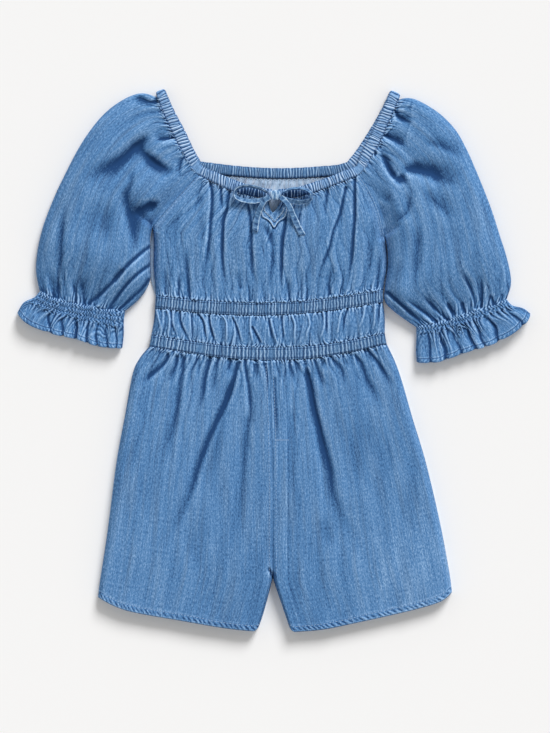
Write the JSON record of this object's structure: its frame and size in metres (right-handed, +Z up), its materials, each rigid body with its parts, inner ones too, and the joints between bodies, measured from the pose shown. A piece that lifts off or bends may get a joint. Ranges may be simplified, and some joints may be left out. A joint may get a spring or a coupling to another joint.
{
  "type": "romper",
  "caption": "Toddler's short romper laid flat: square elastic neck with keyhole and tie bow, puff sleeves with ruffled cuffs, gathered bodice, double elastic waist and shorts.",
  "frame": {"origin": "centre of the romper's bounding box in plan, on the flat surface that it lies on", "axes": "+Z up, from the back of the romper to its front; +Y from the hems to the neck; +X to the wearer's own left"},
  "size_m": [0.4371, 0.461, 0.0181],
  "materials": {
    "chambray": "washed light blue cotton chambray, matt, with paler worn ridges",
    "casing_chambray": "the same chambray gathered over elastic, matt",
    "chambray_inside": "the paler inside face of the chambray, matt"
  },
  "bodies": {
    "root": {"front_bodice": "chambray", "back_bodice": "chambray_inside", "front_midriff": "chambray", "back_midriff": "chambray", "waist_casing_upper": "casing_chambray", "waist_casing_lower": "casing_chambray", "front_shorts_right": "chambray", "front_shorts_left": "chambray", "back_shorts_right": "chambray", "back_shorts_left": "chambray", "sleeve_right": "chambray", "sleeve_left": "chambray", "ruffle_right": "chambray", "ruffle_left": "chambray", "neck_casing_front_right": "casing_chambray", "neck_casing_front_left": "casing_chambray", "neck_casing_back": "casing_chambray", "shoulder_casing_right": "casing_chambray", "shoulder_casing_left": "casing_chambray", "tie_knot": "chambray", "tie_loop_right": "chambray", "tie_loop_left": "chambray", "tie_tail_right": "chambray", "tie_tail_left": "chambray"}
  },
  "joints": []
}
